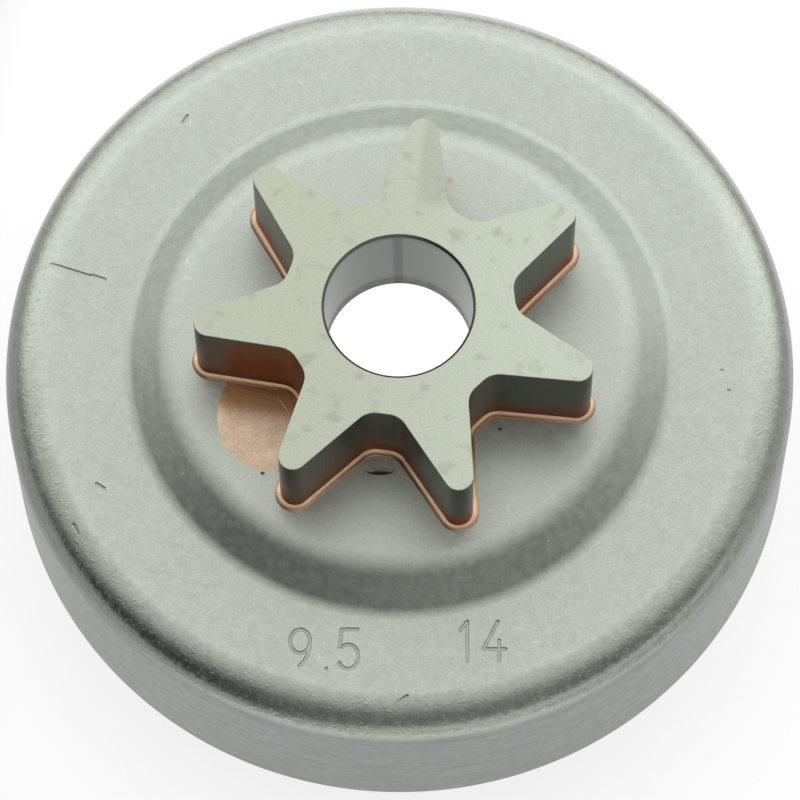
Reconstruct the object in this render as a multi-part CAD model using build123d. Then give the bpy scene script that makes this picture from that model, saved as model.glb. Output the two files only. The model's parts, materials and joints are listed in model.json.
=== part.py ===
"""Clutch drum of a chain saw with a spur sprocket brazed to it. Millimetres, +Z up.

The origin is the centre of the drum's open rim. The sprocket's first tooth points along +Y.
"""
from build123d import *
import os
from math import cos, radians, sin, tan

# Clutch drum, drawn from one sheet
drum_diameter = 76.0
sheet = 2.0
bend_radius = 2.0        # inside of every bend
ring_height = 19.2       # open rim to the top of the flat ring
step_height = 2.8        # flat ring to the top of the centre plate
step_angle = 35.5        # slope of the step, in degrees
plate_land = 1.6         # flat plate left outside the tooth tips
rim_break = 0.3

# Bore, shared by the sprocket and the drum
bore_diameter = 14.0
bore_chamfer = 0.25

# Spur sprocket
tooth_count = 7
tip_diameter = 38.6
flank_angle = 14.8       # each flank to the middle of its tooth, in degrees
root_distance = 10.93    # axis to the flat between two teeth
root_flat = 3.0          # width of that flat, between sharp corners
root_round = 2.1
sprocket_width = 10.2
edge_break = 0.15

# Braze
fillet_leg = 0.55
pool_diameter = 10.6
pool_distance = 13.8     # axis to the middle of the pool
pool_gap = 2             # which gap, counted from the first tooth
pool_thickness = 0.08

# Worked out from the sizes above
first_tooth = 90.0
pitch_angle = 360 / tooth_count
drum_radius = drum_diameter / 2
bore_radius = bore_diameter / 2
plate_height = ring_height + step_height
outer_bend = bend_radius + sheet
half_slope = radians(step_angle / 2)
step_top = tip_diameter / 2 + plate_land + outer_bend * tan(half_slope)
step_foot = step_top + step_height / tan(radians(step_angle))


def rounded(face, corner, radius):
    """The face with the corner nearest to a point rounded."""
    vertex = face.vertices().sort_by_distance(corner)[0]
    return face.fillet_2d(radius, [vertex])


def clutch_drum():
    """The cup: plate, step, ring and wall of one thickness, turned about the axis."""
    set_back = sheet * tan(half_slope)
    wall = drum_radius - sheet
    ring_under = ring_height - sheet
    plate_under = plate_height - sheet
    top_step = (step_top, 0, plate_height)
    top_foot = (step_foot, 0, ring_height)
    top_corner = (drum_radius, 0, ring_height)
    under_corner = (wall, 0, ring_under)
    under_foot = (step_foot - set_back, 0, ring_under)
    under_step = (step_top - set_back, 0, plate_under)
    outside = [(bore_radius, 0, plate_height), top_step, top_foot, top_corner]
    rim = [
        (drum_radius, 0, rim_break),
        (drum_radius - rim_break, 0, 0),
        (wall + rim_break, 0, 0),
        (wall, 0, rim_break),
    ]
    inside = [under_corner, under_foot, under_step]
    bore_end = [
        (bore_radius + bore_chamfer, 0, plate_under),
        (bore_radius, 0, plate_under + bore_chamfer),
    ]
    section = Face(Wire.make_polygon(outside + rim + inside + bore_end, close=True))
    for corner in (top_step, top_corner, under_foot):
        section = rounded(section, corner, outer_bend)
    for corner in (top_foot, under_corner, under_step):
        section = rounded(section, corner, bend_radius)
    return revolve(section, axis=Axis.Z)


def turned(along, across, angle):
    """A point on the plate, given in a tooth's own directions."""
    return (Rot(Z=angle) * Pos(along, across, plate_height)).position


def star_face():
    """The sprocket's outline on the plate: tapered teeth with full round tips on a many-sided root."""
    flank = radians(flank_angle)
    half_pitch = radians(pitch_angle / 2)
    root_along = root_distance * cos(half_pitch) + root_flat / 2 * sin(half_pitch)
    root_across = root_distance * sin(half_pitch) - root_flat / 2 * cos(half_pitch)
    apex = root_along + root_across / tan(flank)
    tip_round = (apex - tip_diameter / 2) * sin(flank) / (1 - sin(flank))
    tips = []
    roots = []
    outline = []
    for tooth in range(tooth_count):
        angle = first_tooth + tooth * pitch_angle
        before = turned(root_along, -root_across, angle)
        tip = turned(apex, 0, angle)
        after = turned(root_along, root_across, angle)
        tips.append(tip)
        roots.extend((before, after))
        outline.extend((before, tip, after))
    star = Face(Wire.make_polygon(outline, close=True))
    for tip in tips:
        star = rounded(star, tip, tip_round)
    for root in roots:
        star = rounded(star, root, root_round)
    return star


def spur_sprocket(star):
    """The star as a thick plate, with its top edges broken and its bore chamfered."""
    blank = extrude(star, amount=sprocket_width, dir=(0, 0, 1))
    blank = chamfer(blank.faces().sort_by(Axis.Z)[-1].edges(), edge_break)
    bore = Pos(0, 0, plate_height + sprocket_width / 2) * Cylinder(bore_radius, sprocket_width)
    blank = blank - bore
    top_face = blank.faces().sort_by(Axis.Z)[-1]
    return blank.solid().chamfer(bore_chamfer, None, top_face.inner_wires()[0].edges())


def braze(star):
    """The fillet round the star's foot, with the pool that ran out in one gap."""
    path = star.outer_wire()
    start = path @ 0
    along = path % 0
    outward = along.cross(Vector(0, 0, 1))
    if outward.dot(start) < 0:
        outward = -outward
    corner = Plane(origin=start, x_dir=outward, z_dir=outward.cross(Vector(0, 0, 1)))
    section = corner * make_face(Polyline((0, 0), (fillet_leg, 0), (0, fillet_leg), close=True))
    fillet_ring = sweep(section, path=path)
    gap_angle = first_tooth + (pool_gap + 0.5) * pitch_angle
    pool_middle = Pos(turned(pool_distance, 0, gap_angle))
    pool = extrude(pool_middle * Circle(pool_diameter / 2), amount=pool_thickness)
    pool = pool - extrude(star, amount=sprocket_width, dir=(0, 0, 1))
    return fillet_ring + pool


def main():
    star = star_face()
    os.makedirs("parts", exist_ok=True)
    export_step(clutch_drum(), "parts/clutch_drum.step")
    export_step(spur_sprocket(star), "parts/spur_sprocket.step")
    export_step(braze(star), "parts/braze.step")


main()
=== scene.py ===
import json
from math import atan2, cos, pi, radians, sin, tan

import bmesh
import bpy
from mathutils import Matrix, Quaternion, Vector, noise


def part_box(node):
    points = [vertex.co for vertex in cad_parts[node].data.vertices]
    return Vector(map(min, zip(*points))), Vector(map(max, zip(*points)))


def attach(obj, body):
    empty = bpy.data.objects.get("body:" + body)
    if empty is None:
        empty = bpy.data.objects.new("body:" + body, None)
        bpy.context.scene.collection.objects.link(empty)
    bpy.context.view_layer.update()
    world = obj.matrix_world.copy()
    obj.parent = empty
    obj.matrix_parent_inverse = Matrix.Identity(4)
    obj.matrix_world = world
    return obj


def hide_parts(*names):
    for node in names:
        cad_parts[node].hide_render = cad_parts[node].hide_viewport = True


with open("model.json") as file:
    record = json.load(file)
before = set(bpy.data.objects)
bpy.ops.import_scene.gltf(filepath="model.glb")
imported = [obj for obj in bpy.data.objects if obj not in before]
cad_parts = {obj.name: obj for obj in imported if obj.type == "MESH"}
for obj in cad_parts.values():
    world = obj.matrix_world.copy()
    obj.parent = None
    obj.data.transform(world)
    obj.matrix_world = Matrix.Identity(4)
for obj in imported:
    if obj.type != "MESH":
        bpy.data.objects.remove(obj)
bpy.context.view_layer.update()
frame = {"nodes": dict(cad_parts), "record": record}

mm = 0.001
up = Vector((0, 0, 1))
white = (1, 1, 1, 1)
touch = 0.001 * mm

# Heights and radii that the frame gives
plate_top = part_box("spur_sprocket")[0].z
sprocket_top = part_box("spur_sprocket")[1].z
mounts = {mount["name"]: mount for mount in frame["record"]["mounts"]}
bore_radius = mounts["bearing_bore"]["dims"]["r_mm"] * mm
drum_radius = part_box("clutch_drum")[1].x
tip_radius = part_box("spur_sprocket")[1].y

# Drum section
sheet = 2.0 * mm
bend_radius = 2.0 * mm
outer_bend = bend_radius + sheet
step_height = 2.8 * mm
step_angle = 35.5
plate_land = 1.6 * mm
rim_break = 0.3 * mm
bore_chamfer = 0.25 * mm
ring_top = plate_top - step_height
drum_segments = 256
bend_turn = 5.0
longest_run = 1.4 * mm
drum_smooth = 30

# Camera
camera_azimuth = 8.34
camera_elevation = 69.72
camera_distance = 568.6 * mm
camera_roll = -0.82
camera_lens = 258.3
camera_sensor = 36
camera_clip = 0.01
camera_aim = Vector((0, 0, 6.94 * mm))

# Light: levels of a soft dome, and where each of its edges starts and ends along a direction
ceiling_edge = (-0.54, 0.38)
ceiling_lean = 0.35
ceiling_level = 0.5
box_edge = (0.24, 0.44)
box_level = 0.57
box_end = (0.5, 0.85)
box_end_share = 0.6
low_edge = (-0.05, 0.72)
low_lean = 0.45
right_lean = 0.05
room_edge = (-0.7, 0.1)
room_level = (0.09, 0.2)
corner_sides = (0.35, 0.7)
corner_front = (0.0, -0.3)
corner_level = -0.06
front_turn = 32.0
front_edge = (0.5, 0.85)
front_level = 0.85
horizon_edge = (0.26, 0.0)

# Floor: one pale tone with a painted pool of light, a soft glowing oval round the part that is brightest
# under the hollow, with distances in millimetres
floor_reach = 3.0
floor_tone = (0.42, 0.42, 0.42, 1)
floor_rays = ("Is Camera Ray", "Is Glossy Ray", "Is Transmission Ray")
bright_offset = 3.0
bright_reach = (42.0, 92.0)
bright_fade = 1.6
# Under the drum the floor glows nearly white: painted light seen through the bore
hollow_edge = (24.0, 36.0)
hollow_glow = 0.97
floor_glow = 0.76
far_glow = 0.12

# Marks in the drum, as places in millimetres and widths at the top and at the floor
line_mark = [(-34.6, 4.92), (-30.4, 4.10)]
line_heel = [(-30.5, 4.24), (-29.3, 4.02)]
line_cut = (0.56 * mm, 0.36 * mm, 0.24 * mm)
numeral_height = 3.9 * mm
numeral_cut = (0.36 * mm, 0.12 * mm, 0.12 * mm)
numeral_turn = 7.5
numeral_places = {"9.5": (-2.6, -30.2), "14": (11.9, -27.5)}
arc_steps = 14
nick_cut = (0.34 * mm, 0.08 * mm, 0.10 * mm)
nicks = [
    [(-28.46, -21.05), (-27.84, -21.98)],
    [(-26.84, -16.70), (-26.03, -17.10)],
    [(4.43, -34.60), (5.22, -33.86)],
    [(-24.15, 21.32), (-23.77, 22.12)],
]
slot_end_steps = 8
cutter_clearance = 0.3 * mm
cutter_stagger = 0.0007 * mm        # each cutter is this much longer per hundred points before it
dent_segments = (32, 16)
dimple_centre = (-0.1, -13.0)
dimple_size = (2.5 * mm, 0.7 * mm)
dimple_depth = 0.15 * mm
dimple_turn = 8.0
plate_specks = [(-11.1, -14.61), (10.61, -7.26)]
ring_specks = [(30.85, 2.51), (31.74, 0.56)]
speck_size = (0.42 * mm, 0.26 * mm)
speck_depth = 0.12 * mm

# Sprocket
tooth_count = 7
first_tooth = 90.0
pitch = 360 / tooth_count
outline_step = 0.25 * mm
bore_margin = 1.0 * mm
edge_round = [(0.0, 0.07), (0.02, 0.02), (0.07, 0.0)]
bore_segments = 128
sprocket_smooth = 20

# Braze
fillet_leg = 0.55 * mm
fillet_profile = [
    (1.0, 0.0), (0.95, 0.12), (0.85, 0.26), (0.7, 0.4), (0.55, 0.5), (0.4, 0.57), (0.2, 0.625), (0.0, 0.69),
]
fillet_swell = 0.2
fillet_wave = 4.0 * mm
pool_gap = 2.5
pool_angle = first_tooth + pool_gap * pitch
pool_distance = 13.8 * mm
pool_radius = 5.7 * mm
pool_uneven = 0.07
pool_waves = (1.6, 7.0)
pool_shift = Vector((3.1, 0, 0))
pool_thickness = 0.09 * mm
pool_rays = 128
pool_rings = 10
pool_spacing = 0.6
pool_flatness = 6
parallel = 1e-12
hair = [(-10.75, -6.98), (-10.3, -7.3), (-9.9, -7.75), (-9.32, -8.49)]
hair_radius = 0.07 * mm
hair_tip = 0.3
hair_sides = 8
braze_smooth = 50

# Finishes: noise as size and detail, edges as start and end, lengths in millimetres
noise_span = (0.3, 0.7)
# The bores are painted dark as shade, darker still at the mouth and the foot, with one soft streak of
# painted reflection along the far side
shaded_bore_tone = (0.138, 0.158, 0.138)
bore_mouth = (32.2, 30.8)
bore_foot = (20.0, 24.0)
bore_end_share = 0.7
reflection_azimuth = 98.3
reflection_edge = (0.7, 0.2)
reflection_side = (0.0, 3.0)
reflection_share = 0.6

# Finish of the drum
sheet_grain = (0.22, 3.0)
sheet_relief = 0.008
sheet_mottle = (0.9, 4.0)
sheet_clouds = (9.0, 3.0)
sheet_tones = ((0.540, 0.585, 0.515, 1), (0.600, 0.640, 0.565, 1))
sheet_shades = (0.94, 1.06)
sheet_roughness = (0.25, 0.75, 0.34, 0.42)
scuff_noise = (0.4, 2.0)
scuff_stretches = ((0.2, 1.0, 1.0), (1.0, 0.25, 1.0))
scuff_edge = (0.66, 0.76)
scuff_tone = (0.74, 0.765, 0.72, 1)
patch_noise = (5.0, 2.0)
patch_edge = (0.5, 0.66)
stain_place = (2.61, 17.52, 22.0)
stain_edge = (0.5, 0.1)
stain_tone = (0.60, 0.45, 0.32, 1)
# Painted shade in the dimple and in the pits of the plate
pit_shade_tone = (0.13, 0.12, 0.10, 1)
dimple_edge = (1.3, 0.3)
dimple_level = (21.0, 21.5)
speck_edge = (0.28, 0.06)
# The wall is painted darker than the sheet as shade, with drawn streaks over it
shaded_wall_tone = (0.282, 0.295, 0.272)
wall_edge = (17.5, 16.0)
streak_noise = (0.5, 4.0)
streak_stretch = (0.08, 0.08, 1.0)
streak_shades = (0.92, 1.08)
drum_bore_edge = (7.2, 7.1)
dent_noise = (0.35, 1.5)
dent_edge = (0.54, 0.7)
dent_relief = 0.014
dent_radius = (33.6, 35.2)
dent_height = (15.2, 16.4)
polish_radius = (32.5, 35.0)
polish_height = (15.4, 16.6)
polish_amount = 0.1
plate_dullness = (30.0, 22.0, 0.0, 0.05)
# Painted light: the plate round the star is painted lighter
plate_painted_light = (24.0, 21.0, 1.0, 1.06)

# Finish of the sprocket
turning_noise = (0.22, 2.0)
turning_shades = (-0.06, 0.06)
turning_patches = (4.0, 2.0)
turning_edge = (0.4, 0.6)
turning_relief = 0.002
turning_level = (32.0, 32.15)
star_grain = (0.2, 3.0)
star_shades = (0.94, 1.06)
star_relief = 0.002
star_span = (-10.0, 18.0)
star_tones = ((0.535, 0.580, 0.460, 1), (0.600, 0.655, 0.545, 1))
star_roughness = (0.28, 0.34)
# The tooth at +y is darker over its half at +x
dark_half_start = (-0.4, 0.6)
dark_half_end = (4.0, 2.5)
dark_half_reach = (9.0, 12.0)
dark_half_share = 0.86
smudge_noise = (1.8, 5.0)
smudge_edge = (0.55, 0.72)
smudge_amount = 0.45
smudge_tone = (0.36, 0.38, 0.32, 1)
flank_tone = (0.118, 0.122, 0.100, 1)
wash_tone = (0.26, 0.073, 0.025, 1)
wash_rise = (5.4, 1.0)
wash_noise = (4.0, 2.0)
wash_patches = (0.25, 0.6, 0.6, 1.0)
pool_wash_edge = (14.0, 7.0)
pool_wash_amount = 0.85
star_bore_edge = (7.4, 7.3)
# Painted shade on the bore's chamfer of the sprocket's face
chamfer_painted_shade = (7.3, 7.2, 1.0, 0.6)
face_edge = (0.3, 0.6)

# Finish of the braze, with the pool's tones set along y and the bead's by height over the plate
copper_patches = (1.4, 4.0)
copper_grain = (0.28, 3.0)
copper_shades = (0.9, 1.1)
copper_relief = 0.008
copper_roughness = (0.34, 0.44)
pool_tones = ((0.74, 0.54, 0.37, 1), (0.83, 0.64, 0.47, 1))
# Painted light over the pool's middle, and a painted reflection of the dark flanks beside the sprocket
pool_painted_light = (-12.0, -9.6, 1.0, 1.18)
flank_reflection_edge = (-9.3, -7.7)
pool_flank_reflection = (0.67, 0.39, 0.185, 1)
bead_span = (12.0, 19.0)
bead_tones = ((0.48, 0.27, 0.14, 1), (0.82, 0.63, 0.48, 1))
bead_rise = (0.09, 0.14)
# A painted highlight along the bead's crest
crest_rise = (0.22, 0.33)
crest_painted_highlight = (0.96, 0.62, 0.40, 1)
hair_edge = (1.2, 1.1)
hair_rise = (0.092, 0.1)
hair_tone = (0.98, 0.86, 0.70, 1)


def spot(place, height):
    """A point on the part from its x and y in millimetres."""
    return Vector((place[0] * mm, place[1] * mm, height))


def polar(radius, azimuth, height=0.0):
    """A point from its radius and its azimuth in degrees."""
    return Vector((radius * cos(radians(azimuth)), radius * sin(radians(azimuth)), height))


def piece_from(bm, name):
    """A new object in the scene that holds a finished mesh."""
    mesh = bpy.data.meshes.new(name)
    bm.normal_update()
    bm.to_mesh(mesh)
    bm.free()
    piece = bpy.data.objects.new(name, mesh)
    bpy.context.scene.collection.objects.link(piece)
    return piece


def smooth_by_angle(mesh, angle):
    """Smooth shading that stays sharp at the steeper edges."""
    mesh.polygons.foreach_set("use_smooth", [True] * len(mesh.polygons))
    mesh.set_sharp_from_angle(angle=radians(angle))


def even_shading(piece):
    """Lets the larger faces lead the shading at the edges they share."""
    even = piece.modifiers.new("even shading", "WEIGHTED_NORMAL")
    even.keep_sharp = True
    even.weight = 100


def rounded_section(corners):
    """Points of a closed section from corners given as radius, height and bend radius."""
    points = []
    for index, (x, z, bend) in enumerate(corners):
        corner = Vector((x, z))
        before = (Vector(corners[index - 1][:2]) - corner).normalized()
        after = (Vector(corners[(index + 1) % len(corners)][:2]) - corner).normalized()
        if not bend:
            points.append(corner)
            continue
        half = before.angle(after) / 2
        centre = corner + (before + after).normalized() * (bend / sin(half))
        start = corner + before * (bend / tan(half)) - centre
        turn = start.angle_signed(corner + after * (bend / tan(half)) - centre)
        steps = round(abs(turn) / radians(bend_turn))
        for step in range(steps + 1):
            spoke = start.copy()
            spoke.rotate(Matrix.Rotation(-turn * step / steps, 2))
            points.append(centre + spoke)
    return points


def drum_section():
    """The drum's section: plate, step, ring and wall of one thickness."""
    half_slope = radians(step_angle / 2)
    step = tip_radius + plate_land + outer_bend * tan(half_slope)
    foot = step + step_height / tan(radians(step_angle))
    set_back = sheet * tan(half_slope)
    wall = drum_radius - sheet
    ring_under = ring_top - sheet
    plate_under = plate_top - sheet
    return rounded_section([
        (bore_radius, plate_top, 0),
        (step, plate_top, outer_bend),
        (foot, ring_top, bend_radius),
        (drum_radius, ring_top, outer_bend),
        (drum_radius, rim_break, 0),
        (drum_radius - rim_break, 0, 0),
        (wall + rim_break, 0, 0),
        (wall, rim_break, 0),
        (wall, ring_under, bend_radius),
        (foot - set_back, ring_under, outer_bend),
        (step - set_back, plate_under, bend_radius),
        (bore_radius + bore_chamfer, plate_under, 0),
        (bore_radius, plate_under + bore_chamfer, 0),
    ])


def add_revolved(bm, section):
    """A closed section turned about the axis, with its long runs divided."""
    turns = [360 * k / drum_segments for k in range(drum_segments)]
    rings = []
    for first, second in zip(section, section[1:] + section[:1]):
        steps = max(1, round((second - first).length / longest_run))
        for step in range(steps):
            point = first.lerp(second, step / steps)
            rings.append([bm.verts.new(polar(point.x, turn, point.y)) for turn in turns])
    for index, ring in enumerate(rings):
        before = rings[index - 1]
        for k in range(drum_segments):
            bm.faces.new((before[k - 1], ring[k - 1], ring[k], before[k]))


def direction_at(points, index):
    """Direction of an open line at one of its points, not of unit length."""
    return points[min(index + 1, len(points) - 1)] - points[max(index - 1, 0)]


def add_hair(bm):
    """A thin round hair along the pool, drawn in at both ends."""
    points = [spot(point, plate_top + pool_thickness) for point in hair]
    turns = [2 * pi * k / hair_sides for k in range(hair_sides)]
    loops = []
    for index, point in enumerate(points):
        side = up.cross(direction_at(points, index)).normalized()
        reach = hair_radius * (hair_tip if index in (0, len(points) - 1) else 1.0)
        loops.append([bm.verts.new(point + (side * cos(t) + up * sin(t)) * reach) for t in turns])
    for first, second in zip(loops, loops[1:]):
        for k in range(hair_sides):
            bm.faces.new((first[k], first[k - 1], second[k - 1], second[k]))
    bm.faces.new(loops[0])
    bm.faces.new(reversed(loops[-1]))


def slot_outline(points, reach):
    """Left side, right side and round ends of a stroke, at half its width from its middle line."""
    left = []
    right = []
    for index, point in enumerate(points):
        side = up.cross(direction_at(points, index)).normalized() * reach
        left.append(point + side)
        right.append(point - side)
    turns = [-pi * k / slot_end_steps for k in range(1, slot_end_steps)]
    ends = []
    for spoke, middle in ((right[0] - points[0], points[0]), (left[-1] - points[-1], points[-1])):
        ends.append([middle + Quaternion(up, turn) @ spoke for turn in turns])
    return left, right, ends


def add_slot(bm, points, cut, surface):
    """A cutter for a flat-bottomed groove with sloping sides and round ends along flat points."""
    top_width, floor_width, depth = cut
    stagger = cutter_stagger * len(bm.verts) / 100
    slope = (top_width - floor_width) / 2 / depth
    levels = []
    for rise in (cutter_clearance + stagger, -depth - stagger):
        left, right, ends = slot_outline(points, top_width / 2 + slope * rise)
        lift = up * (surface + rise)
        sides = [[bm.verts.new(point + lift) for point in side] for side in (left, right, *ends)]
        levels.append(sides)
    for left, right, start, end in levels:
        for k in range(len(points) - 1):
            bm.faces.new((left[k], left[k + 1], right[k + 1], right[k]))
        bm.faces.new((right[0], *start, left[0]))
        bm.faces.new((left[-1], *end, right[-1]))
    rims = []
    for left, right, start, end in levels:
        rims.append([*left, *end, *reversed(right), *start])
    upper, lower = rims
    for k in range(len(upper)):
        bm.faces.new((upper[k - 1], upper[k], lower[k], lower[k - 1]))


def add_dent(bm, centre, size, depth, turn, surface):
    """A cutter for a shallow oval dent."""
    middle = spot(centre, surface)
    before = set(bm.verts)
    bmesh.ops.create_uvsphere(bm, u_segments=dent_segments[0], v_segments=dent_segments[1], radius=1.0)
    spin = Quaternion(up, radians(turn))
    for vert in set(bm.verts) - before:
        stretched = Vector((vert.co.x * size[0] / 2, vert.co.y * size[1] / 2, vert.co.z * depth))
        vert.co = middle + spin @ stretched


def arc(centre, radii, start, end):
    """Points of an oval arc, with its angles in degrees."""
    points = []
    for step in range(arc_steps + 1):
        angle = radians(start + (end - start) * step / arc_steps)
        points.append((centre[0] + radii[0] * cos(angle), centre[1] + radii[1] * sin(angle)))
    return points


# Strokes of each numeral on a body one unit tall, and how far each moves the next one on
numerals = {
    "1": [[(0.10, 0.76), (0.28, 1.0)], [(0.28, 1.0), (0.28, 0.0)]],
    "4": [[(0.40, 1.0), (0.05, 0.3)], [(0.05, 0.3), (0.58, 0.3)], [(0.43, 0.52), (0.43, 0.0)]],
    "5": [
        [(0.52, 1.0), (0.13, 1.0)],
        [(0.13, 1.0), (0.09, 0.56)],
        arc((0.29, 0.31), (0.25, 0.31), 128, -150),
    ],
    "9": [
        arc((0.29, 0.70), (0.24, 0.30), 0, 180),
        arc((0.29, 0.70), (0.24, 0.30), 180, 360),
        arc((0.05, 0.70), (0.48, 0.70), 0, -62),
    ],
    ".": [[(0.12, 0.0), (0.13, 0.01)]],
}
advances = {"1": 0.62, "4": 0.85, "5": 0.85, "9": 0.8, ".": 0.36}


def add_numerals(bm, text, centre):
    """Cutters for a row of numerals round a middle point."""
    spin = Quaternion(up, radians(numeral_turn))
    middle = spot(centre, 0.0)
    start = -sum(advances[sign] for sign in text) / 2
    for sign in text:
        for stroke in numerals[sign]:
            points = []
            for across, along in stroke:
                offset = Vector((start + across, along - 0.5, 0)) * numeral_height
                points.append(middle + spin @ offset)
            add_slot(bm, points, numeral_cut, ring_top)
        start += advances[sign]


def ring_surface(radius):
    """Height of the flat ring, or of the bend outside it."""
    past_ring = max(0.0, radius - (drum_radius - outer_bend))
    return ring_top - outer_bend + (outer_bend ** 2 - past_ring ** 2) ** 0.5


def mark_cutters():
    """All that is stamped, dented or knocked into the drum, as one cutter."""
    bm = bmesh.new()
    for stroke in (line_mark, line_heel):
        add_slot(bm, [spot(point, 0) for point in stroke], line_cut, ring_top)
    for text, centre in numeral_places.items():
        add_numerals(bm, text, centre)
    for nick in nicks:
        strokes = [spot(point, 0) for point in nick]
        add_slot(bm, strokes, nick_cut, ring_surface(sum(strokes, Vector()).length / len(strokes)))
    add_dent(bm, dimple_centre, dimple_size, dimple_depth, dimple_turn, plate_top)
    for centre in plate_specks:
        add_dent(bm, centre, speck_size, speck_depth, 0, plate_top)
    for centre in ring_specks:
        add_dent(bm, centre, speck_size, speck_depth, 0, ring_top)
    bmesh.ops.recalc_face_normals(bm, faces=bm.faces)
    return piece_from(bm, "mark_cutters")


def stamped_drum():
    """The drum with its marks cut in."""
    bm = bmesh.new()
    add_revolved(bm, drum_section())
    bmesh.ops.recalc_face_normals(bm, faces=bm.faces)
    drum = piece_from(bm, "stamped_drum")
    cutters = mark_cutters()
    cut = drum.modifiers.new("marks", "BOOLEAN")
    cut.operation = "DIFFERENCE"
    cut.solver = "EXACT"
    cut.use_self = True
    cut.object = cutters
    bpy.context.view_layer.update()
    evaluated = drum.evaluated_get(bpy.context.evaluated_depsgraph_get())
    drum.data = bpy.data.meshes.new_from_object(evaluated)
    drum.modifiers.clear()
    bpy.data.objects.remove(cutters)
    smooth_by_angle(drum.data, drum_smooth)
    even_shading(drum)
    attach(drum, "root")
    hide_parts("clutch_drum")
    return drum


def star_outline():
    """The sprocket's foot as evenly spaced points, read from its own lower edge."""
    corners = []
    for vert in frame["nodes"]["spur_sprocket"].data.vertices:
        flat = Vector((vert.co.x, vert.co.y, 0))
        if abs(vert.co.z - plate_top) < touch and flat.length > bore_radius + bore_margin:
            corners.append(flat)
    corners.sort(key=lambda point: atan2(point.y, point.x))
    outline = []
    for first, second in zip(corners, corners[1:] + corners[:1]):
        length = (second - first).length
        steps = max(1, round(length / outline_step))
        if length > touch:
            outline += [first.lerp(second, step / steps) for step in range(steps)]
    return outline


def outward_at(outline, index):
    """Direction straight out from an outline at one of its points."""
    ahead = outline[(index + 1) % len(outline)]
    return (ahead - outline[index - 1]).normalized().cross(up)


def join_loops(bm, loops):
    """Faces between each loop and the next."""
    for first, second in zip(loops, loops[1:]):
        for k in range(len(first)):
            bm.faces.new((first[k - 1], first[k], second[k], second[k - 1]))


def fill_between(bm, outer, inner):
    """A flat face between an outer and an inner loop."""
    edges = []
    for loop in (outer, inner):
        edges += [bm.edges.get((loop[k - 1], loop[k])) for k in range(len(loop))]
    bmesh.ops.triangle_fill(bm, use_beauty=True, edges=edges)


def ground_sprocket(outline):
    """The star wheel with barely rounded edges and a chamfered bore."""
    bm = bmesh.new()
    outside = [[bm.verts.new(point + up * plate_top) for point in outline]]
    for inset, drop in edge_round:
        loop = []
        for index, point in enumerate(outline):
            moved = point - outward_at(outline, index) * inset * mm
            loop.append(bm.verts.new(moved + up * (sprocket_top - drop * mm)))
        outside.append(loop)
    turns = [360 * k / bore_segments for k in range(bore_segments)]
    bore = []
    for extra, height in ((0, plate_top), (0, sprocket_top - bore_chamfer), (bore_chamfer, sprocket_top)):
        bore.append([bm.verts.new(polar(bore_radius + extra, turn, height)) for turn in turns])
    join_loops(bm, outside)
    join_loops(bm, bore)
    fill_between(bm, outside[0], bore[0])
    fill_between(bm, outside[-1], bore[-1])
    bmesh.ops.recalc_face_normals(bm, faces=bm.faces)
    wheel = piece_from(bm, "ground_sprocket")
    smooth_by_angle(wheel.data, sprocket_smooth)
    even_shading(wheel)
    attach(wheel, "root")
    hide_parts("spur_sprocket")
    return wheel


def add_fillet(bm, outline):
    """The rounded bead of braze round the sprocket's foot, a little uneven."""
    loops = []
    for index, point in enumerate(outline):
        outward = outward_at(outline, index)
        leg = fillet_leg * (1 + fillet_swell * noise.noise(point / fillet_wave))
        loop = [bm.verts.new(point + up * plate_top)]
        for reach, rise in fillet_profile:
            loop.append(bm.verts.new(point + outward * leg * reach + up * (plate_top + leg * rise)))
        loops.append(loop)
    for index, loop in enumerate(loops):
        before = loops[index - 1]
        for k in range(len(loop)):
            bm.faces.new((before[k - 1], loop[k - 1], loop[k], before[k]))


def reach_to(outline, start, direction, limit):
    """How far a ray runs on the plate before it meets the sprocket's foot."""
    nearest = limit
    for first, second in zip(outline, outline[1:] + outline[:1]):
        edge = second - first
        cross = direction.x * edge.y - direction.y * edge.x
        if abs(cross) < parallel:
            continue
        to_edge = first - start
        run = (to_edge.x * edge.y - to_edge.y * edge.x) / cross
        share = (to_edge.x * direction.y - to_edge.y * direction.x) / cross
        if run > 0 and 0 <= share <= 1:
            nearest = min(nearest, run)
    return nearest


def add_pool(bm, outline):
    """The thin pool of braze that ran out in one gap."""
    middle = polar(pool_distance, pool_angle)
    crown = bm.verts.new(middle + up * (plate_top + pool_thickness))
    base = bm.verts.new(middle + up * plate_top)
    spokes = []
    for ray in range(pool_rays):
        angle = 2 * pi * ray / pool_rays
        direction = Vector((cos(angle), sin(angle), 0))
        uneven = 1 + pool_uneven * noise.noise(direction * pool_waves[0] + pool_shift)
        uneven += pool_uneven / 3 * noise.noise(direction * pool_waves[1])
        reach = reach_to(outline, middle, direction, pool_radius * uneven)
        spoke = []
        for ring in range(1, pool_rings + 1):
            share = (ring / pool_rings) ** pool_spacing
            rise = pool_thickness * (1 - share ** pool_flatness)
            spoke.append(bm.verts.new(middle + direction * reach * share + up * (plate_top + rise)))
        spokes.append(spoke)
    for index, spoke in enumerate(spokes):
        before = spokes[index - 1]
        bm.faces.new((crown, before[0], spoke[0]))
        for k in range(pool_rings - 1):
            bm.faces.new((before[k], before[k + 1], spoke[k + 1], spoke[k]))
        bm.faces.new((base, spoke[-1], before[-1]))


def braze(outline):
    """The copper: the bead, the pool and a fine hair that lies on the pool."""
    bm = bmesh.new()
    add_fillet(bm, outline)
    add_pool(bm, outline)
    add_hair(bm)
    bmesh.ops.recalc_face_normals(bm, faces=bm.faces)
    copper = piece_from(bm, "copper_braze")
    smooth_by_angle(copper.data, braze_smooth)
    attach(copper, "root")
    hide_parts("braze")
    return copper


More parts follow.
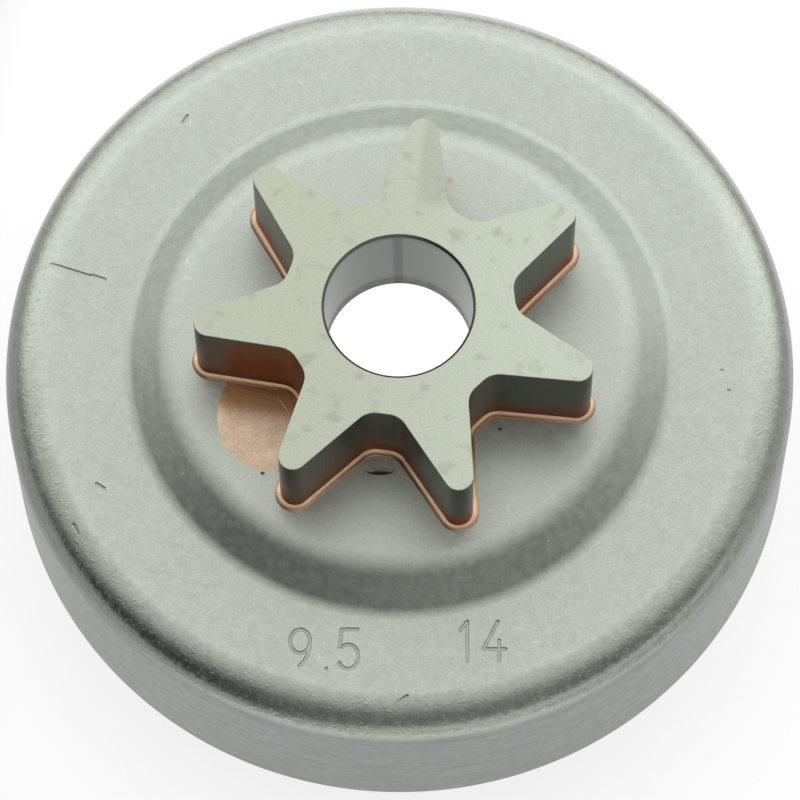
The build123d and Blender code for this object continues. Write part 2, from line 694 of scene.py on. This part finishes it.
class Nodes:
    """The nodes of one material or world, made by short calls."""

    def __init__(self, tree):
        self.tree = tree
        self.place = None

    def add(self, kind, inputs, output=0, **settings):
        """Adds a node, sets or links its inputs and returns one output."""
        node = self.tree.nodes.new("ShaderNode" + kind)
        for name, value in settings.items():
            setattr(node, name, value)
        for key, value in inputs.items():
            self.put(node.inputs[key], value)
        return node.outputs[output]

    def put(self, socket, value):
        """Links a socket to another node's output or sets its value."""
        if isinstance(value, bpy.types.NodeSocket):
            self.tree.links.new(value, socket)
        else:
            socket.default_value = value

    def math(self, operation, first, second=0.0):
        return self.add("Math", {0: first, 1: second}, operation=operation)

    def times(self, first, second):
        return self.math("MULTIPLY", first, second)

    def part_of(self, vector, axis):
        return self.add("SeparateXYZ", {0: vector}, axis)

    def along(self, direction):
        """Distance from the origin along a direction."""
        return self.add("VectorMath", {0: self.place, 1: direction}, "Value", operation="DOT_PRODUCT")

    def length_of(self, first, second):
        """Length of a flat arrow given by its two parts."""
        arrow = self.add("CombineXYZ", {0: first, 1: second})
        return self.add("VectorMath", {0: arrow}, "Value", operation="LENGTH")

    def fade(self, value, start, end, low=0.0, high=1.0):
        """Goes smoothly from low at start to high at end."""
        inputs = {"Value": value, "From Min": start, "From Max": end, "To Min": low, "To Max": high}
        return self.add("MapRange", inputs, interpolation_type="SMOOTHSTEP")

    def vary(self, cloud, low, high):
        """Goes from low to high with a noise."""
        return self.fade(cloud, *noise_span, low, high)

    def blur(self, size, detail, place=None):
        """Cloudy noise with blobs of about one size."""
        inputs = {"Vector": place or self.place, "Scale": 1 / size, "Detail": detail}
        return self.add("TexNoise", inputs)

    def stretched(self, scale):
        """Places scaled along each axis, so that noise there runs long where the scale is small."""
        return self.add("VectorMath", {0: self.place, 1: scale}, operation="MULTIPLY")

    def mix(self, share, first, second):
        return self.add("Mix", {0: share, 6: first, 7: second}, 2, data_type="RGBA")

    def shade(self, colour, amount):
        """A colour made darker or lighter by a number."""
        return self.add("VectorMath", {0: colour, 3: amount}, operation="SCALE")

    def bump(self, height, depth, normal=None):
        """A relief of some depth, laid over another relief where one is given."""
        inputs = {"Strength": 1.0, "Distance": depth * mm, "Height": height}
        if normal:
            inputs["Normal"] = normal
        return self.add("Bump", inputs)


class Shader(Nodes):
    """One material, with places in millimetres."""

    def __init__(self, name):
        self.material = bpy.data.materials.new(name)
        self.material.use_nodes = True
        super().__init__(self.material.node_tree)
        self.surface = self.tree.nodes["Principled BSDF"]
        metres = self.add("TexCoord", {}, "Object")
        self.place = self.add("VectorMath", {0: metres, 3: 1 / mm}, operation="SCALE")

    def radius(self):
        """Distance from the axis."""
        flat = self.add("VectorMath", {0: self.place, 1: (1, 1, 0)}, operation="MULTIPLY")
        return self.add("VectorMath", {0: flat}, "Value", operation="LENGTH")

    def height(self):
        return self.part_of(self.place, "Z")

    def facing_up(self):
        """The upward part of the surface's direction."""
        return self.part_of(self.add("NewGeometry", {}, "Normal"), "Z")

    def distance_to(self, place):
        """Distance from a place in millimetres."""
        return self.add("VectorMath", {0: self.place, 1: place}, "Value", operation="DISTANCE")

    def finish(self, colour, roughness, normal):
        """Sets the metal's colour, roughness and surface direction."""
        self.surface.inputs["Metallic"].default_value = 1.0
        self.put(self.surface.inputs["Base Color"], colour)
        self.put(self.surface.inputs["Roughness"], roughness)
        self.put(self.surface.inputs["Normal"], normal)
        return self.material


def shaded_bore_colour(shader):
    """The bore painted dark as shade, darker still at both ends, with one soft streak of painted
    reflection.
    """
    height = shader.height()
    mouth = shader.fade(height, *bore_mouth, bore_end_share, 1.0)
    foot = shader.fade(height, *bore_foot, bore_end_share, 1.0)
    middle = polar(1.0, reflection_azimuth)
    offset = shader.math("ABSOLUTE", shader.along(middle.cross(up)))
    reflection_streak = shader.times(shader.fade(offset, *reflection_edge), shader.fade(shader.along(middle), *reflection_side))
    reflected = shader.fade(reflection_streak, 0.0, 1.0, 1.0, reflection_share)
    return shader.shade(shaded_bore_tone, shader.times(shader.times(mouth, foot), reflected))


def dimple_shade_share(shader):
    """One inside the dimple and none outside it, for the dimple's painted shade."""
    spin = Quaternion(up, radians(dimple_turn))
    middle = spot(dimple_centre, 0) / mm
    shares = []
    for axis, size in zip(((1, 0, 0), (0, 1, 0)), dimple_size):
        direction = spin @ Vector(axis)
        offset = shader.math("SUBTRACT", shader.along(direction), middle.dot(direction))
        shares.append(shader.times(offset, 2 * mm / size))
    inside = shader.fade(shader.length_of(*shares), *dimple_edge)
    return shader.times(inside, shader.fade(shader.height(), *dimple_level))


def drum_steel():
    """Tumbled sheet steel: mottled and scuffed, with small dents in the bend, a wall painted darker as
    shade, the dimple and the pits in the plate painted dark as shade, the plate round the star painted
    lighter and the bore painted dark as shade.
    """
    shader = Shader("tumbled_steel")
    radius = shader.radius()
    height = shader.height()
    grain = shader.blur(*sheet_grain)
    mottle = shader.blur(*sheet_mottle)
    tone = shader.mix(shader.blur(*sheet_clouds), *sheet_tones)
    tone = shader.shade(tone, shader.vary(mottle, *sheet_shades))
    tone = shader.shade(tone, shader.vary(grain, *sheet_shades))
    patches = shader.fade(shader.blur(*patch_noise), *patch_edge)
    for stretch in scuff_stretches:
        scuffs = shader.fade(shader.blur(*scuff_noise, shader.stretched(stretch)), *scuff_edge)
        tone = shader.mix(shader.times(scuffs, patches), tone, scuff_tone)
    tone = shader.mix(shader.fade(shader.distance_to(stain_place), *stain_edge), tone, stain_tone)
    # The dimple and the pits in the plate are painted dark as shade
    tone = shader.mix(dimple_shade_share(shader), tone, pit_shade_tone)
    for centre in plate_specks:
        near_speck = shader.fade(shader.distance_to(spot(centre, plate_top) / mm), *speck_edge)
        tone = shader.mix(near_speck, tone, pit_shade_tone)
    # The wall: drawn streaks over a tone painted darker as shade
    streaks = shader.blur(*streak_noise, shader.stretched(streak_stretch))
    wall = shader.shade(shaded_wall_tone, shader.vary(streaks, *streak_shades))
    tone = shader.mix(shader.fade(height, *wall_edge), tone, wall)
    # The bore, painted dark as shade
    tone = shader.mix(shader.fade(radius, *drum_bore_edge), tone, shaded_bore_colour(shader))
    # The plate round the star is painted lighter as painted light
    tone = shader.shade(tone, shader.fade(radius, *plate_painted_light))
    knocked = shader.times(shader.fade(radius, *dent_radius), shader.fade(height, *dent_height))
    dents = shader.times(shader.fade(shader.blur(*dent_noise), *dent_edge), knocked)
    normal = shader.bump(dents, dent_relief, shader.bump(grain, sheet_relief))
    roughness = shader.fade(mottle, *sheet_roughness)
    roughness = shader.math("ADD", roughness, shader.fade(radius, *plate_dullness))
    polished = shader.times(shader.fade(radius, *polish_radius), shader.fade(height, *polish_height))
    roughness = shader.math("SUBTRACT", roughness, shader.times(polished, polish_amount))
    return shader.finish(tone, roughness, normal)


def star_face(shader, rings, grain):
    """Tone of the ground face: faint turning marks, a few smudges, one tooth darker over half of its face,
    and the bore's chamfer painted darker as shade.
    """
    arcs = shader.vary(rings, *turning_shades)
    arcs = shader.times(arcs, shader.fade(shader.blur(*turning_patches), *turning_edge))
    across = shader.part_of(shader.place, "X")
    tone = shader.mix(shader.fade(across, *star_span), *star_tones)
    # The tooth at +y is darker over its half at +x
    dark_half = shader.times(shader.fade(across, *dark_half_start), shader.fade(across, *dark_half_end))
    dark_half = shader.times(dark_half, shader.fade(shader.part_of(shader.place, "Y"), *dark_half_reach))
    tone = shader.shade(tone, shader.fade(dark_half, 0.0, 1.0, 1.0, dark_half_share))
    tone = shader.shade(tone, shader.math("ADD", shader.vary(grain, *star_shades), arcs))
    smudges = shader.fade(shader.blur(*smudge_noise), *smudge_edge)
    tone = shader.mix(shader.times(smudges, smudge_amount), tone, smudge_tone)
    # The bore's chamfer is painted darker as shade
    return shader.shade(tone, shader.fade(shader.radius(), *chamfer_painted_shade))


def star_side(shader):
    """Tone of the sides: dark flanks washed with copper at the foot and beside the pool, and the bore,
    painted dark as shade.
    """
    pool = polar(pool_distance, pool_angle, plate_top) / mm
    near_pool = shader.fade(shader.distance_to(pool), *pool_wash_edge)
    foot = plate_top / mm
    wash = shader.fade(shader.height(), foot + wash_rise[0], foot + wash_rise[1])
    wash = shader.times(wash, shader.fade(shader.blur(*wash_noise), *wash_patches))
    wash = shader.math("MAXIMUM", wash, shader.times(near_pool, pool_wash_amount))
    flank = shader.mix(wash, flank_tone, wash_tone)
    return shader.mix(shader.fade(shader.radius(), *star_bore_edge), flank, shaded_bore_colour(shader))


def sprocket_steel():
    """Steel of the star: a ground face over dark milled sides."""
    shader = Shader("ground_steel")
    rings = shader.blur(*turning_noise, shader.add("CombineXYZ", {0: shader.radius()}))
    grain = shader.blur(*star_grain)
    face_share = shader.fade(shader.facing_up(), *face_edge)
    tone = shader.mix(face_share, star_side(shader), star_face(shader, rings, grain))
    turned = shader.times(rings, shader.fade(shader.height(), *turning_level))
    normal = shader.bump(turned, turning_relief, shader.bump(grain, star_relief))
    return shader.finish(tone, shader.vary(rings, *star_roughness), normal)


def braze_copper():
    """Dull grainy copper: a pool with painted light over its middle and a painted reflection of the dark
    flanks beside the sprocket, a bead darker at the roots with a painted highlight along its crest, and a
    pale hair.
    """
    shader = Shader("dull_copper")
    patches = shader.blur(*copper_patches)
    grain = shader.blur(*copper_grain)
    northward = shader.part_of(shader.place, "Y")
    tone = shader.mix(patches, *pool_tones)
    # The pool's middle painted lighter, and a painted reflection of the dark flanks beside the sprocket
    tone = shader.shade(tone, shader.fade(northward, *pool_painted_light))
    tone = shader.mix(shader.fade(northward, *flank_reflection_edge), tone, pool_flank_reflection)
    tone = shader.shade(tone, shader.vary(grain, *copper_shades))
    raised = shader.math("SUBTRACT", shader.height(), plate_top / mm)
    bead = shader.mix(shader.fade(shader.radius(), *bead_span), *bead_tones)
    tone = shader.mix(shader.fade(raised, *bead_rise), tone, bead)
    # A painted highlight along the bead's crest
    tone = shader.mix(shader.fade(raised, *crest_rise), tone, crest_painted_highlight)
    hair_middle = (spot(hair[0], plate_top) + spot(hair[-1], plate_top)) / 2 / mm
    beside_hair = shader.fade(shader.distance_to(hair_middle), *hair_edge)
    thread = shader.times(beside_hair, shader.fade(raised, *hair_rise))
    tone = shader.mix(thread, tone, hair_tone)
    roughness = shader.vary(patches, *copper_roughness)
    return shader.finish(tone, roughness, shader.bump(grain, copper_relief))


def direction_to(azimuth, elevation):
    """Unit vector from the part towards a place given as a view is."""
    flat = cos(radians(elevation))
    return Vector((sin(radians(azimuth)) * flat, -cos(radians(azimuth)) * flat, sin(radians(elevation))))


def floor_paint():
    """A pale floor of one tone with a painted pool of light round the part, brightest under the hollow. It
    keeps the part's shadow.
    """
    shader = Shader("pale_floor")
    shader.surface.inputs["Base Color"].default_value = floor_tone
    shader.surface.inputs["Roughness"].default_value = 1.0
    camera_ray, glossy_ray, transmission_ray = [shader.add("LightPath", {}, name) for name in floor_rays]
    seen = shader.math("MAXIMUM", shader.math("MAXIMUM", camera_ray, glossy_ray), transmission_ray)
    across = shader.math("SUBTRACT", shader.along(direction_to(camera_azimuth + 90, 0)), bright_offset)
    across = shader.math("DIVIDE", across, bright_reach[0])
    ahead = shader.math("DIVIDE", shader.along(direction_to(camera_azimuth, 0)), bright_reach[1])
    away = shader.fade(shader.length_of(across, ahead), 1.0, bright_fade)
    glow = shader.fade(shader.radius(), *hollow_edge, hollow_glow, floor_glow)
    glow = shader.add("Mix", {0: away, 2: glow, 3: far_glow})
    shader.surface.inputs["Emission Color"].default_value = white
    shader.put(shader.surface.inputs["Emission Strength"], shader.times(seen, glow))
    return shader.material


def add_floor():
    bm = bmesh.new()
    bmesh.ops.create_grid(bm, x_segments=1, y_segments=1, size=floor_reach)
    floor = piece_from(bm, "floor")
    floor.data.materials.append(floor_paint())


def add_light():
    """A soft dome: a bright box behind, a dimmer ceiling, dim sides and corners, and a pale front."""
    world = bpy.data.worlds.new("soft_dome")
    world.use_nodes = True
    dome = Nodes(world.node_tree)
    dome.place = dome.add("TexCoord", {}, "Generated")
    back = direction_to(camera_azimuth + 180, 0)
    right = direction_to(camera_azimuth + 90, 0)
    front = direction_to(camera_azimuth + front_turn, 0)
    ceiling = dome.fade(dome.along(back + up * ceiling_lean), *ceiling_edge, 0.0, ceiling_level)
    box = dome.fade(dome.along(back), *box_edge, 0.0, box_level)
    box = dome.times(box, dome.fade(dome.along(back), *box_end, 1.0, box_end_share))
    overhead = dome.fade(dome.along(up + back * low_lean + right * right_lean), *low_edge)
    room = dome.fade(dome.along(right), *room_edge, *room_level)
    corners = dome.fade(dome.math("ABSOLUTE", dome.along(right)), *corner_sides)
    corners = dome.times(corners, dome.fade(dome.along(back), *corner_front, 0.0, corner_level))
    room = dome.math("ADD", room, corners)
    ahead = dome.fade(dome.along(front), *front_edge, 0.0, front_level)
    horizon = dome.times(ahead, dome.fade(dome.along(up), *horizon_edge))
    level = dome.times(dome.math("ADD", ceiling, box), overhead)
    level = dome.math("ADD", dome.math("ADD", level, room), horizon)
    background = world.node_tree.nodes["Background"]
    background.inputs["Color"].default_value = white
    dome.put(background.inputs["Strength"], level)
    bpy.context.scene.world = world


def add_camera():
    camera = bpy.data.cameras.new("camera")
    camera.lens = camera_lens
    camera.sensor_width = camera_sensor
    camera.clip_start = camera_clip
    eye = bpy.data.objects.new("camera", camera)
    eye.location = direction_to(camera_azimuth, camera_elevation) * camera_distance
    look = (camera_aim - eye.location).to_track_quat("-Z", "Y")
    eye.rotation_euler = (look @ Quaternion(up, radians(camera_roll))).to_euler()
    bpy.context.scene.collection.objects.link(eye)
    bpy.context.scene.camera = eye


def paint(piece, material):
    piece.data.materials.clear()
    piece.data.materials.append(material)


bpy.context.scene.view_settings.view_transform = "Standard"
paint(stamped_drum(), drum_steel())
star = star_outline()
paint(ground_sprocket(star), sprocket_steel())
paint(braze(star), braze_copper())
add_floor()
add_light()
add_camera()
